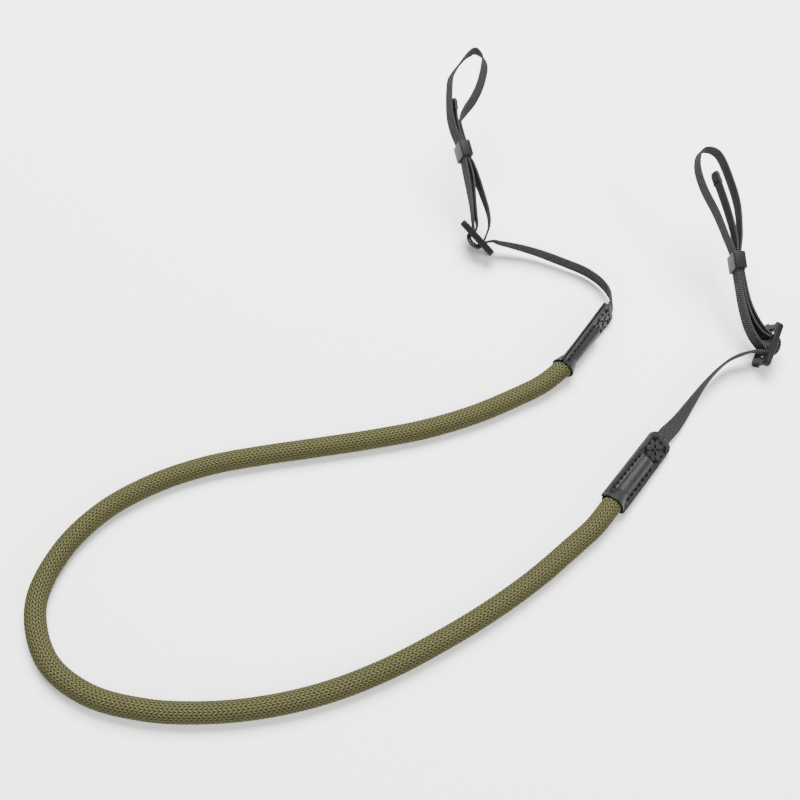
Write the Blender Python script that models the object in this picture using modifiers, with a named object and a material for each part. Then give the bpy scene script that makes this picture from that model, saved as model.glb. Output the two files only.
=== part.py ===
"""Camera neck strap: a braided rope in an open U, with a leather end, a webbing band, a slider,
a keeper and a lug loop at each of its two ends.  Metres, +Z up, lying on the floor at z = 0."""
import bpy
import bmesh
import numpy as np
from math import asin, atan2, cos, degrees, hypot, pi, radians, sin, sqrt
from mathutils import Matrix

# Clearance between pieces that touch on the real strap
GAP = 0.0003

# Rope: braided cover over a soft core, squeezed where the leather holds it
ROPE_DIAMETER = 0.011
ROPE_HELD_DIAMETER = 0.0056
ROPE_SQUEEZE = 0.008
ROPE_SIDES = 12
ROPE_STEP = 0.0105
ROPE_END_ROOM = 0.0018
HELD_ROPE_POINTS = 5

# Route of the rope's centre on the floor, chosen by hand, from the near leather to the far leather;
# the last column is the share of the way up from the floor to the leather's mouth
ROPE_ROUTE = [
    (0.0985, -0.0878, 1.00), (0.0883, -0.1003, 0.55), (0.0773, -0.1103, 0.12), (0.0543, -0.1303, 0.00),
    (0.0303, -0.1478, 0.00), (0.0053, -0.1633, 0.00), (-0.0212, -0.1775, 0.00), (-0.0494, -0.1888, 0.00),
    (-0.0787, -0.1960, 0.00), (-0.1087, -0.1990, 0.00), (-0.1389, -0.1975, 0.00), (-0.1680, -0.1895, 0.00),
    (-0.1902, -0.1718, 0.00), (-0.1997, -0.1433, 0.00), (-0.1913, -0.1145, 0.00), (-0.1727, -0.0911, 0.00),
    (-0.1475, -0.0745, 0.00), (-0.1194, -0.0635, 0.00), (-0.0899, -0.0571, 0.00), (-0.0601, -0.0521, 0.00),
    (-0.0303, -0.0469, 0.00), (-0.0008, -0.0404, 0.00), (0.0277, -0.0306, 0.00), (0.0543, -0.0178, 0.10),
    (0.0674, -0.0105, 0.50), (0.0785, -0.0014, 1.00),
]

# Leather end: two layers stitched face to face, with the rope and the webbing between them.
# The layers ride over the rope as a ridge, which slopes down to the seam at its sides and its end
LEATHER_LENGTH = 0.0515
LEATHER_WIDTH = 0.0155
LEATHER_THICKNESS = 0.0013
LEATHER_CORNER = 0.0035
LEATHER_FILLET = 0.0012
RIDGE_SIDE_SLOPE = 2.5
RIDGE_END_SLOPE = 1.6
WEBBING_STEP = 0.003
HELD_WEBBING_LENGTH = 0.0135
HELD_ROOM = 0.004

# Webbing band
WEBBING_WIDTH = 0.010
WEBBING_THICKNESS = 0.0012

# Slider: a plate with a slot on each side of a centre bar, whose rails stand a little past its ends;
# the band bulges out behind the bar
SLIDER_LENGTH = 0.027
SLIDER_THICKNESS = 0.004
SLIDER_RAIL = 0.0023
SLIDER_CENTRE_BAR = 0.006
SLIDER_SLOT = 0.0055
SLIDER_CORNER = 0.003
SLIDER_EDGE = 0.0008
SLOT_CORNER = 0.0008
SLIDER_NOTCH = 0.0011
SLIDER_RAIL_END = 0.0042
BAND_BULGE = 0.0018
BAND_LEAD_IN = 0.0028

# Keeper: a sleeve round three layers of the band
KEEPER_LENGTH = 0.010
KEEPER_WALL = 0.0011
KEEPER_CORNER = 0.0012
KEEPER_HOLE_CORNER = 0.0004

# Worked out from the sizes above
HELD_ROPE_LENGTH = LEATHER_LENGTH - HELD_WEBBING_LENGTH - HELD_ROOM
ROPE_RADIUS = ROPE_DIAMETER / 2
TUBE_RADIUS = ROPE_RADIUS + GAP + LEATHER_THICKNESS
SEAM_STACK = GAP / 2 + LEATHER_THICKNESS
WEBBING_STACK = WEBBING_THICKNESS / 2 + GAP + LEATHER_THICKNESS
LAYER_PITCH = WEBBING_THICKNESS + GAP
SLOT_WIDTH = WEBBING_WIDTH + 4 * GAP
SLIDER_WIDTH = SLOT_WIDTH + 2 * SLIDER_RAIL
TURN_INNER = SLIDER_CENTRE_BAR / 2 + GAP + WEBBING_THICKNESS / 2
TURN_OUTER = TURN_INNER + LAYER_PITCH
KEEPER_HOLE_WIDTH = WEBBING_WIDTH + 3 * GAP
KEEPER_HOLE_THICKNESS = 3 * WEBBING_THICKNESS + 5 * GAP

# The two ends.  Headings are compass angles on the floor from +X towards +Y, climbs are angles up
# from the floor, and a lean is the angle of the band's width from flat: 90 stands on its edge.
# leather: heading of the leather, and its lean at the mouth and at the webbing
# run: the free band from the leather to the slider
# spine: the middle of the layers from the slider through the keeper to the tip of the loop
# legs: where the three layers lie across the spine, in layer pitches, from slider to keeper
# loop: the band's path from keeper to keeper as shares of the loop's length and half its width
ENDS = {
    "near": dict(
        start=0,
        leather=(52.0, 20.0, 36.0),
        run_length=0.0855,
        run=[
            # share, heading, climb, lean
            (0.08, 44, -1, 44), (0.22, 53.5, -2, 57), (0.42, 54, -1, 76), (0.60, 48.5, 2, 92),
            (0.76, 38, 6, 103), (0.90, 11, 13, 112), (1.00, 19.5, -5, 121),
        ],
        turn=116.0,
        plate=62.5,
        legs_length=0.0525,
        loop_length=0.0725,
        loop_width=0.024,
        spine=[
            # share, heading, climb, lean
            (0.12, 119, 22, 88), (0.25, 98.5, 20, 92), (0.42, 95, 20, 90), (0.55, 95, 22, 88),
            (0.72, 110, 25, 86), (1.00, 108.5, 26, 86),
        ],
        back=1,
        legs=[
            # share, free leg, tail, fixed leg
            (0.18, -3.0, 0.0, 1.7), (0.35, -2.1, -0.4, 1.3), (0.57, -1.2, -0.1, 1.1),
        ],
        loop=[
            # share of length, share of half width, twist in degrees, fixed side first
            (0.23, 0.33, 0), (0.46, 0.55, 0), (0.67, 0.63, 0), (0.85, 0.57, 0), (0.93, 0.39, 0),
            (0.97, 0.05, 0), (0.97, -0.28, 0), (0.92, -0.57, 0), (0.82, -0.76, 0), (0.66, -0.77, 0),
            (0.44, -0.58, 0), (0.23, -0.36, 0),
        ],
        tail=[
            # share of length, share of half width
            (0.21, 0.06), (0.46, 0.00), (0.78, 0.00),
        ],
    ),
    "far": dict(
        start=-1,
        leather=(53.5, 83.0, 72.0),
        run_length=0.098,
        run=[
            (0.06, 83, -6, 77), (0.18, 115, -4, 83), (0.28, 133, -2, 82), (0.42, 153, 0, 80),
            (0.60, 155, 1, 78), (0.78, 164.5, 4, 72), (0.92, 173.5, 10, 62), (1.00, 157, 12, 53.5),
        ],
        turn=-75.0,
        plate=-53.5,
        legs_length=0.0565,
        loop_length=0.0695,
        loop_width=0.024,
        spine=[
            (0.14, 98, 24, 91), (0.28, 106, 20, 96), (0.43, 105, 20, 99), (0.55, 105, 22, 102),
            (0.70, 77, 25, 113), (1.00, 63, 27, 121),
        ],
        back=-1,
        legs=[
            (0.14, 4.2, -0.8, -2.4), (0.27, 3.9, -1.3, -2.7), (0.42, 3.1, -1.1, -2.5), (0.65, 2.4, 0.1, -1.9),
            (0.82, 1.8, 0.3, -1.3),
        ],
        loop=[
            (0.23, -0.25, 0), (0.38, -0.39, 0), (0.62, -0.69, 0), (0.72, -0.65, -2), (0.81, -0.48, -8),
            (0.91, -0.27, -16), (0.97, 0.02, -28), (0.96, 0.48, -38), (0.90, 0.78, -44), (0.78, 0.91, -44),
            (0.66, 0.90, -42), (0.54, 0.76, -40), (0.42, 0.48, -34), (0.32, 0.22, -20), (0.23, 0.12, -4),
        ],
        tail=[
            (0.18, -0.05), (0.32, -0.09), (0.42, -0.17), (0.49, -0.31),
        ],
    ),
}

BLACK_LEATHER = ("black leather", (0.016, 0.016, 0.017), 0.50)
BLACK_NYLON = ("black nylon webbing", (0.030, 0.030, 0.031), 0.60)
GREY_PLASTIC = ("dark grey plastic", (0.040, 0.040, 0.042), 0.42)
OLIVE_BRAID = ("olive braided polyester", (0.105, 0.100, 0.040), 0.80)


def unit(v):
    return v / np.linalg.norm(v)


def frame_at(heading, climb, lean):
    """Direction of travel and direction of the width, from the three angles in degrees."""
    h, c, a = radians(heading), radians(climb), radians(lean)
    travel = np.array((cos(c) * cos(h), cos(c) * sin(h), sin(c)))
    left = np.array((-sin(h), cos(h), 0.0))
    return travel, left * cos(a) + np.cross(travel, left) * sin(a)


def lay_out(start, length, rows, step=0.001):
    """Walk from start with angles read from rows, and give distances, points and both directions."""
    rows = np.array(rows, float)
    n = max(2, int(round(length / step)) + 1)
    share = np.linspace(0, 1, n)
    angles = [np.interp(share, rows[:, 0], rows[:, k]) for k in (1, 2, 3)]
    frames = [frame_at(*a) for a in zip(*angles)]
    travel = np.array([f[0] for f in frames])
    across = np.array([f[1] for f in frames])
    strides = (travel[1:] + travel[:-1]) * 0.5 * length / (n - 1)
    points = np.array(start) + np.vstack([np.zeros(3), np.cumsum(strides, axis=0)])
    return share * length, points, travel, across


def turned(v, axis, angle):
    a = radians(angle)
    return v * cos(a) + np.cross(axis, v) * sin(a) + axis * np.dot(axis, v) * (1 - cos(a))


def smooth_curve(points, step):
    """Points at about one step apart on a Catmull-Rom curve through the given points."""
    p = np.array(points, float)
    p = np.vstack([2 * p[0] - p[1], p, 2 * p[-1] - p[-2]])
    out = []
    for a, b, c, d in zip(p[:-3], p[1:-2], p[2:-1], p[3:]):
        n = max(1, int(round(np.linalg.norm(c[:3] - b[:3]) / step)))
        for t in np.arange(n) / n:
            out.append(0.5 * (2 * b + (c - a) * t + (2 * a - 5 * b + 4 * c - d) * t ** 2
                              + (3 * b - a - 3 * c + d) * t ** 3))
    out.append(p[-2])
    return np.array(out)


def edge_height(lean, width, half_thickness):
    """Height of the middle of a flat strip that leans on one edge on the floor."""
    return width / 2 * sin(radians(lean)) + half_thickness * cos(radians(lean))


def leather_frame(end):
    """Mouth point and rows of the leather's straight axis, which rests on the floor at both ends."""
    heading, lean_mouth, lean_end = end["leather"]
    x, y, _ = ROPE_ROUTE[end["start"]]
    at_mouth = max(TUBE_RADIUS, edge_height(lean_mouth, LEATHER_WIDTH, SEAM_STACK))
    at_end = edge_height(lean_end, LEATHER_WIDTH, WEBBING_STACK)
    climb = degrees(asin((at_end - at_mouth) / LEATHER_LENGTH))
    rows = [(0, heading, climb, lean_mouth), (1, heading, climb, lean_end)]
    return np.array((x, y, at_mouth)), rows


def leather_profile(u, w):
    """Height of a layer's middle surface over the seam plane, at u from the mouth and w across."""
    squeeze = min(1.0, u / ROPE_SQUEEZE)
    radius = ROPE_RADIUS + (ROPE_HELD_DIAMETER / 2 - ROPE_RADIUS) * squeeze
    past = max(0.0, u - HELD_ROPE_LENGTH)
    over_rope = radius + GAP + LEATHER_THICKNESS / 2
    beyond = max(0.0, abs(w) - over_rope)
    ridge = sqrt(max(0.0, over_rope ** 2 - w * w)) - RIDGE_SIDE_SLOPE * beyond - RIDGE_END_SLOPE * past
    to_webbing = LEATHER_LENGTH - HELD_WEBBING_LENGTH - 2 * GAP
    on_webbing = min(1.0, max(0.0, (u - to_webbing) / WEBBING_STEP + 1.0))
    beside = min(1.0, (LEATHER_WIDTH / 2 - abs(w)) / (LEATHER_WIDTH / 2 - WEBBING_WIDTH / 2 - GAP))
    flat = SEAM_STACK + (WEBBING_STACK - SEAM_STACK) * on_webbing * beside - LEATHER_THICKNESS / 2
    return 0.5 * (ridge + flat + sqrt((ridge - flat) ** 2 + LEATHER_FILLET ** 2))


def leather_half_width(u):
    """Half the leather's width, drawn in round the corners at the webbing end."""
    past = max(0.0, u - (LEATHER_LENGTH - LEATHER_CORNER))
    return LEATHER_WIDTH / 2 - LEATHER_CORNER + sqrt(max(0.0, LEATHER_CORNER ** 2 - past ** 2))


def slider_frame(end, point, travel, across):
    """Centre, long axis, width and back of the slider whose outer pass the run enters."""
    bundle = turned(travel, across, end["turn"])
    right = np.cross(bundle, across)
    plate = radians(end["plate"])
    long_axis = bundle * cos(plate) + right * sin(plate)
    back = end["back"] * (right * cos(plate) - bundle * sin(plate))
    centre = point + TURN_OUTER * long_axis + (SLIDER_THICKNESS / 2 + BAND_LEAD_IN) * back
    return centre, long_axis, across, back, bundle


def slider_rest_height(long_axis, width_axis, back):
    """Height of the slider's centre when its lowest rounded corner touches the floor."""
    a, b, c = abs(long_axis[2]), abs(width_axis[2]), abs(back[2])
    corner = (SLIDER_LENGTH / 2 - SLIDER_CORNER) * a + (SLIDER_WIDTH / 2 - SLIDER_CORNER) * b
    rounding = (SLIDER_CORNER - SLIDER_EDGE) * hypot(a, b) + SLIDER_EDGE
    return corner + rounding + (SLIDER_THICKNESS / 2 - SLIDER_EDGE) * c


def strap_end(name):
    """All the curves and frames of one end, worked out in order from the leather outwards."""
    end = ENDS[name]
    mouth, rows = leather_frame(end)
    leather = lay_out(mouth, LEATHER_LENGTH, rows)
    run = lay_out(leather[1][-1], end["run_length"], [(0, *rows[1][1:])] + end["run"])
    slider = slider_frame(end, run[1][-1], run[2][-1], run[3][-1])
    centre, long_axis, width_axis, back, bundle = slider
    lift = slider_rest_height(long_axis, width_axis, back) - centre[2]
    centre[2] += lift
    share = run[0] / end["run_length"]
    run[1][:, 2] += lift * share ** 2 * (3 - 2 * share)
    spine_length = end["legs_length"] + end["loop_length"]
    heading = degrees(atan2(bundle[1], bundle[0]))
    climb = degrees(asin(bundle[2]))
    flat_left = np.array((-bundle[1], bundle[0], 0.0)) / hypot(bundle[0], bundle[1])
    lean = degrees(atan2(np.dot(width_axis, np.cross(bundle, flat_left)), np.dot(width_axis, flat_left)))
    spine = lay_out(centre, spine_length, [(0, heading, climb, lean)] + end["spine"])
    return dict(end=end, mouth=mouth, leather=leather, run=run, slider=slider, spine=spine,
                spine_length=spine_length)


def on_spine(spine, u, v, twist=0.0):
    """Point at u along the spine and v to its right, with the direction of the twisted width there."""
    s, points, travel, across = spine
    point = np.array([np.interp(u, s, points[:, k]) for k in range(3)])
    along = unit(np.array([np.interp(u, s, travel[:, k]) for k in range(3)]))
    width = np.array([np.interp(u, s, across[:, k]) for k in range(3)])
    width = unit(width - along * np.dot(along, width))
    point = point + along * min(0.0, u) + along * max(0.0, u - s[-1])
    return point + v * np.cross(along, width), turned(width, along, twist)


def band_path(parts):
    """Centre points and width directions of one end's whole band, from the leather to the tail."""
    end, spine = parts["end"], parts["spine"]
    centre, long_axis, width_axis, back, _ = parts["slider"]
    legs, loop_length, half = end["legs_length"], end["loop_length"], end["loop_width"] / 2
    s, points, travel, across = parts["leather"]
    held = s >= LEATHER_LENGTH - HELD_WEBBING_LENGTH
    path = [(p, w) for p, w in zip(points[held][::3], across[held][::3])]
    path += [(p, w) for p, w in zip(parts["run"][1][2:-1:3], parts["run"][3][2:-1:3])]

    def plate(along, deep):
        return centre + along * long_axis + deep * back, width_axis

    def across_at(u, v, twist=0.0):
        return on_spine(spine, u, v, twist)

    def turn_round_bar(reach, rise):
        """Through one slot, round the back of the centre bar and out of the other slot."""
        front = -SLIDER_THICKNESS / 2
        turn = [plate(-reach, front), plate(-reach, 0.0)]
        for k in range(9):
            a = pi * k / 8
            turn.append(plate(-reach * cos(a), SLIDER_THICKNESS / 2 + rise * sin(a)))
        return turn + [plate(reach, 0.0), plate(reach, front)]

    pitch = LAYER_PITCH * end["back"]
    rise = BAND_BULGE
    path += turn_round_bar(TURN_OUTER, rise + LAYER_PITCH)
    rows = end["legs"]
    path += [across_at(f * legs, fixed * LAYER_PITCH) for f, _, _, fixed in rows]
    path += [across_at(legs - KEEPER_LENGTH / 2, pitch), across_at(legs + KEEPER_LENGTH / 2, pitch)]
    path += [across_at(legs + f * loop_length, v * half, twist) for f, v, twist in end["loop"]]
    path += [across_at(legs + KEEPER_LENGTH / 2, -pitch), across_at(legs - KEEPER_LENGTH / 2, -pitch)]
    path += [across_at(f * legs, free * LAYER_PITCH) for f, free, _, _ in reversed(rows)]
    path += turn_round_bar(TURN_INNER, rise)
    path += [across_at(f * legs, tail * LAYER_PITCH) for f, _, tail, _ in rows]
    path += [across_at(legs - KEEPER_LENGTH / 2, 0.0), across_at(legs + KEEPER_LENGTH / 2, 0.0)]
    path += [across_at(legs + f * loop_length, v * half) for f, v in end["tail"]]
    band = smooth_curve([np.concatenate(pair) for pair in path], 0.0025)
    travel = np.gradient(band[:, :3], axis=0)
    travel /= np.linalg.norm(travel, axis=1)[:, None]
    band[:, 3:] -= travel * np.sum(travel * band[:, 3:], axis=1)[:, None]
    return band


def material(spec):
    label, colour, roughness = spec
    found = bpy.data.materials.get(label)
    if found:
        return found
    made = bpy.data.materials.new(label)
    made.use_nodes = True
    shader = made.node_tree.nodes["Principled BSDF"]
    shader.inputs["Base Color"].default_value = (*colour, 1.0)
    shader.inputs["Roughness"].default_value = roughness
    made.diffuse_color = (*colour, 1.0)
    return made


def collection(label):
    made = bpy.data.collections.new(label)
    bpy.context.scene.collection.children.link(made)
    return made


def add_mesh(name, bm, spec, home, smooth=True):
    mesh = bpy.data.meshes.new(name)
    bmesh.ops.recalc_face_normals(bm, faces=bm.faces)
    bm.to_mesh(mesh)
    bm.free()
    if smooth:
        mesh.shade_smooth()
        mesh.set_sharp_from_angle(angle=radians(40))
    obj = bpy.data.objects.new(name, mesh)
    mesh.materials.append(material(spec))
    home.objects.link(obj)
    return obj


def sheet(name, rows, thickness, spec, home):
    """An open surface from rows of points, thickened evenly to both sides."""
    bm = bmesh.new()
    grid = [[bm.verts.new(p) for p in row] for row in rows]
    for low, high in zip(grid, grid[1:]):
        for a, b, c, d in zip(low, low[1:], high[1:], high):
            bm.faces.new((a, b, c, d))
    obj = add_mesh(name, bm, spec, home)
    solid = obj.modifiers.new("thickness", "SOLIDIFY")
    solid.thickness = thickness
    solid.offset = 0.0
    solid.use_even_offset = True
    return obj


def make_rope(ends, home):
    near, far = ends["near"], ends["far"]

    def held(parts):
        s, points = parts["leather"][:2]
        depths = np.linspace(ROPE_SQUEEZE, HELD_ROPE_LENGTH - ROPE_END_ROOM, HELD_ROPE_POINTS)
        return [np.array([np.interp(d, s, points[:, k]) for k in range(3)]) for d in depths]

    route = []
    for k, (x, y, rise) in enumerate(ROPE_ROUTE):
        mouth = near["mouth"] if k < len(ROPE_ROUTE) / 2 else far["mouth"]
        route.append((x, y, ROPE_RADIUS + rise * (mouth[2] - ROPE_RADIUS)))
    middle = smooth_curve(route, ROPE_STEP)
    near_held, far_held = held(near), held(far)
    points = near_held[::-1] + list(middle) + far_held
    curve = bpy.data.curves.new("rope", "CURVE")
    curve.dimensions = "3D"
    curve.bevel_depth = ROPE_RADIUS
    curve.bevel_resolution = ROPE_SIDES // 4 - 1
    curve.use_fill_caps = True
    spline = curve.splines.new("POLY")
    spline.points.add(len(points) - 1)
    for k, (target, point) in enumerate(zip(spline.points, points)):
        target.co = (*point, 1.0)
        inside = 0.0
        if k < len(near_held):
            inside = np.linalg.norm(point - near["mouth"])
        elif k >= len(points) - len(far_held):
            inside = np.linalg.norm(point - far["mouth"])
        share = min(1.0, inside / ROPE_SQUEEZE)
        target.radius = 1.0 + (ROPE_HELD_DIAMETER / ROPE_DIAMETER - 1.0) * share
    obj = bpy.data.objects.new("rope", curve)
    curve.materials.append(material(OLIVE_BRAID))
    home.objects.link(obj)
    return obj


def make_leather(name, parts, home):
    s, points, travel, across = parts["leather"]
    along = [ROPE_SQUEEZE * f for f in (0.0, 0.2, 0.4, 0.6, 0.8, 1.0, 1.2)]
    along += [HELD_ROPE_LENGTH * f for f in (0.55, 0.78)]
    along += [HELD_ROPE_LENGTH + ROPE_HELD_DIAMETER * f for f in (-0.18, 0.12, 0.4)]
    along.append(LEATHER_LENGTH - HELD_WEBBING_LENGTH + WEBBING_STEP / 2)
    for k in range(6):
        along.append(LEATHER_LENGTH - LEATHER_CORNER * (1 - sin(pi / 2 * k / 5)))
    shares = [1.0, 0.84, 0.72, 0.62, 0.53, 0.44, 0.34, 0.22, 0.10]
    shares = [-f for f in shares] + [0.0] + shares[::-1]
    made = []
    for side, label in ((1, "front"), (-1, "back")):
        rows = []
        for u in along:
            point = np.array([np.interp(u, s, points[:, k]) for k in range(3)])
            width = unit(np.array([np.interp(u, s, across[:, k]) for k in range(3)]))
            up = np.cross(travel[0], width)
            half = leather_half_width(u)
            rows.append([point + width * f * half + up * side * leather_profile(u, f * half) for f in shares])
        made.append(sheet(f"{name}_leather_{label}", rows, LEATHER_THICKNESS, BLACK_LEATHER, home))
    return made


def make_webbing(name, parts, home):
    path = band_path(parts)
    rows = []
    for row in path:
        point, width = row[:3], unit(row[3:])
        rows.append([point - width * WEBBING_WIDTH / 2, point + width * WEBBING_WIDTH / 2])
    return sheet(f"{name}_webbing", rows, WEBBING_THICKNESS, BLACK_NYLON, home)


def frame_matrix(origin, x_axis, y_axis, z_axis):
    m = Matrix.Identity(4)
    for k, axis in enumerate((x_axis, y_axis, z_axis)):
        for r in range(3):
            m[r][k] = axis[r]
    for r in range(3):
        m[r][3] = origin[r]
    return m


def box_mesh(size, corner=0.0, axis=2, segments=3):
    """A box about the origin whose four edges along one axis are rounded."""
    bm = bmesh.new()
    bmesh.ops.create_cube(bm, size=1.0)
    bmesh.ops.scale(bm, vec=size, verts=bm.verts)
    if corner:
        edges = [e for e in bm.edges if abs((e.verts[0].co - e.verts[1].co).normalized()[axis]) > 0.9]
        bmesh.ops.bevel(bm, geom=edges, offset=corner, segments=segments, affect="EDGES", profile=0.5)
    return bm


def cut(obj, bm, name, matrix, cutters):
    mesh = bpy.data.meshes.new(name)
    bmesh.ops.recalc_face_normals(bm, faces=bm.faces)
    bm.to_mesh(mesh)
    bm.free()
    tool = bpy.data.objects.new(name, mesh)
    tool.matrix_world = matrix
    tool.hide_render = True
    tool.display_type = "WIRE"
    cutters.objects.link(tool)
    made = obj.modifiers.new(name, "BOOLEAN")
    made.operation = "DIFFERENCE"
    made.object = tool
    return made


def make_slider(name, parts, home, cutters):
    centre, long_axis, width_axis, back, _ = parts["slider"]
    side = np.cross(back, long_axis)
    place = frame_matrix(centre, long_axis, side, back)
    bm = box_mesh((SLIDER_LENGTH, SLIDER_WIDTH, SLIDER_THICKNESS), SLIDER_CORNER)
    obj = add_mesh(f"{name}_slider", bm, GREY_PLASTIC, home)
    obj.matrix_world = place
    edge = obj.modifiers.new("edges", "BEVEL")
    edge.width = SLIDER_EDGE
    edge.segments = 2
    edge.limit_method = "ANGLE"
    edge.angle_limit = radians(50)
    for number, way in enumerate((-1, 1), 1):
        middle = centre + long_axis * way * (SLIDER_CENTRE_BAR + SLIDER_SLOT) / 2
        slot = box_mesh((SLIDER_SLOT, SLOT_WIDTH, 2 * SLIDER_THICKNESS), SLOT_CORNER, segments=2)
        cut(obj, slot, f"{name}_slot_{number}", frame_matrix(middle, long_axis, side, back), cutters)
        end = centre + long_axis * way * SLIDER_LENGTH / 2
        notch_size = (2 * SLIDER_NOTCH, SLIDER_WIDTH - 2 * SLIDER_RAIL_END, 2 * SLIDER_THICKNESS)
        notch = box_mesh(notch_size, SLOT_CORNER, segments=2)
        cut(obj, notch, f"{name}_notch_{number}", frame_matrix(end, long_axis, side, back), cutters)
    return obj


def make_keeper(name, parts, home, cutters):
    legs = parts["end"]["legs_length"]
    _, width = on_spine(parts["spine"], legs, 0.0)
    before, _ = on_spine(parts["spine"], legs - KEEPER_LENGTH / 2, 0.0)
    after, _ = on_spine(parts["spine"], legs + KEEPER_LENGTH / 2, 0.0)
    along = unit(after - before)
    width = unit(width - along * np.dot(along, width))
    thick = np.cross(along, width)
    place = frame_matrix((before + after) / 2, along, width, thick)
    size = (KEEPER_LENGTH, KEEPER_HOLE_WIDTH + 2 * KEEPER_WALL, KEEPER_HOLE_THICKNESS + 2 * KEEPER_WALL)
    bm = box_mesh(size, KEEPER_CORNER, axis=0)
    obj = add_mesh(f"{name}_keeper", bm, GREY_PLASTIC, home)
    obj.matrix_world = place
    hole_size = (2 * KEEPER_LENGTH, KEEPER_HOLE_WIDTH, KEEPER_HOLE_THICKNESS)
    hole = box_mesh(hole_size, KEEPER_HOLE_CORNER, axis=0, segments=2)
    cut(obj, hole, f"{name}_keeper_hole", place, cutters)
    return obj


def main():
    for obj in list(bpy.data.objects):
        bpy.data.objects.remove(obj)
    home = collection("camera_neck_strap")
    cutters = collection("cutters")
    ends = {name: strap_end(name) for name in ENDS}
    whole = bpy.data.objects.new("camera_neck_strap", None)
    home.objects.link(whole)
    made = [make_rope(ends, home)]
    for name, parts in ends.items():
        made += make_leather(name, parts, home)
        made.append(make_webbing(name, parts, home))
        made.append(make_slider(name, parts, home, cutters))
        made.append(make_keeper(name, parts, home, cutters))
    for obj in made:
        obj.parent = whole


main()
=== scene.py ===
"""Looks of the camera neck strap: braided rope, leather ends, webbing bands, sliders and keepers.

Everything is in metres in the CAD's frame: +Z up, the strap lying on the floor at z = 0, its U open
towards +X.  Routes and tables repeat those of the part, and the surfaces are modelled more finely."""
from math import asin, atan2, cos, degrees, hypot, pi, radians, sin, sqrt

import bpy
import numpy as np
from mathutils import Matrix, Vector


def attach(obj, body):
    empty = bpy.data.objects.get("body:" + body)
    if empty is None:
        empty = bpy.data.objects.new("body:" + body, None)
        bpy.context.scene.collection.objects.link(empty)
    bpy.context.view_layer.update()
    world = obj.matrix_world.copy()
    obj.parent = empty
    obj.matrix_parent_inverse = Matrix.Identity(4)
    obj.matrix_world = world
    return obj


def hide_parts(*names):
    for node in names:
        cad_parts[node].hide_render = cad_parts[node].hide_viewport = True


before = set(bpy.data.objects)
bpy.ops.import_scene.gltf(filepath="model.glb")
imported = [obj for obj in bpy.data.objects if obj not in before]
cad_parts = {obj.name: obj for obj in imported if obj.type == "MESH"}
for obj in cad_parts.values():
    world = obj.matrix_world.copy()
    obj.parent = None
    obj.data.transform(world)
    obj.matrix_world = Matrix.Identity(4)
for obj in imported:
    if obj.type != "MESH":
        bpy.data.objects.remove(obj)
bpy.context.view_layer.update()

# Camera
# The strap lies on a table and is seen from the front and well above, with a lens a little longer
# than normal.
AIM = Vector((-0.0147, -0.0213, 0.0055))
CAMERA_ELEVATION = radians(58)
CAMERA_DISTANCE = 0.6361
CAMERA_LENS_MM = 50.6


def put_in_scene(name, data):
    """An object in the scene, made from its mesh, curve, light or camera."""
    obj = bpy.data.objects.new(name, data)
    bpy.context.scene.collection.objects.link(obj)
    return obj


camera = put_in_scene("camera", bpy.data.cameras.new("camera"))
camera.data.lens = CAMERA_LENS_MM
camera.location = AIM + Vector((0, -cos(CAMERA_ELEVATION), sin(CAMERA_ELEVATION))) * CAMERA_DISTANCE
camera.rotation_euler = (pi / 2 - CAMERA_ELEVATION, 0, 0)
bpy.context.scene.camera = camera


# Rope
# A soft round rope in a braided polyester cover, lying in an open U on the floor.  Its ends run
# into the two leather ends, where the core is cut back and the cover is squeezed flat and thin.
GAP = 0.0003
ROPE_RADIUS = 0.0055
ROPE_HELD_RADIUS = 0.0028
ROPE_SQUEEZE = 0.008
ROPE_HELD_LENGTH = 0.0322

# The route's places weren't chosen by hand: a scratch program traced them from the photograph and
# sampled them at equal steps, and those at the two ends were added or moved afterwards
ROPE_ROUTE = [
    # x, y, share of the way up from the floor to the leather's mouth
    (0.0985, -0.0878, 1.00), (0.0883, -0.1003, 0.55), (0.0773, -0.1103, 0.12), (0.0543, -0.1303, 0.00),
    (0.0303, -0.1478, 0.00), (0.0053, -0.1633, 0.00), (-0.0212, -0.1775, 0.00), (-0.0494, -0.1888, 0.00),
    (-0.0787, -0.1960, 0.00), (-0.1087, -0.1990, 0.00), (-0.1389, -0.1975, 0.00), (-0.1680, -0.1895, 0.00),
    (-0.1902, -0.1718, 0.00), (-0.1997, -0.1433, 0.00), (-0.1913, -0.1145, 0.00), (-0.1727, -0.0911, 0.00),
    (-0.1475, -0.0745, 0.00), (-0.1194, -0.0635, 0.00), (-0.0899, -0.0571, 0.00), (-0.0601, -0.0521, 0.00),
    (-0.0303, -0.0469, 0.00), (-0.0008, -0.0404, 0.00), (0.0277, -0.0306, 0.00), (0.0543, -0.0178, 0.10),
    (0.0674, -0.0105, 0.50), (0.0785, -0.0014, 1.00),
]
ROPE_RING_STEP = 0.00078
ROPE_SEGMENTS = 96

# The braid: columns of short slanted stitches, made by twenty-four strands in each direction.
# BRAID_CROWN is the share of the height that comes from a strand's own roundness, BRAID_LEVEL the
# height in the relief at which the rope has its radius.
BRAID_STRANDS = 24
BRAID_PITCH = 0.00235
BRAID_DEPTH = 0.00034
BRAID_CROWN = 0.7
BRAID_LEVEL = 0.6

# Bundles of fibres in a strand, as single fibres are too fine to show, how much the bundles change its
# tone, and worn patches of the cover
FIBRE_SIZE = 0.0004
FIBRE_TONE = 0.35
PATCH_SIZE = 0.011

# Distance at which the two ends of a ring's surface count as one seam
SEAM_WELD = 0.000001

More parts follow.
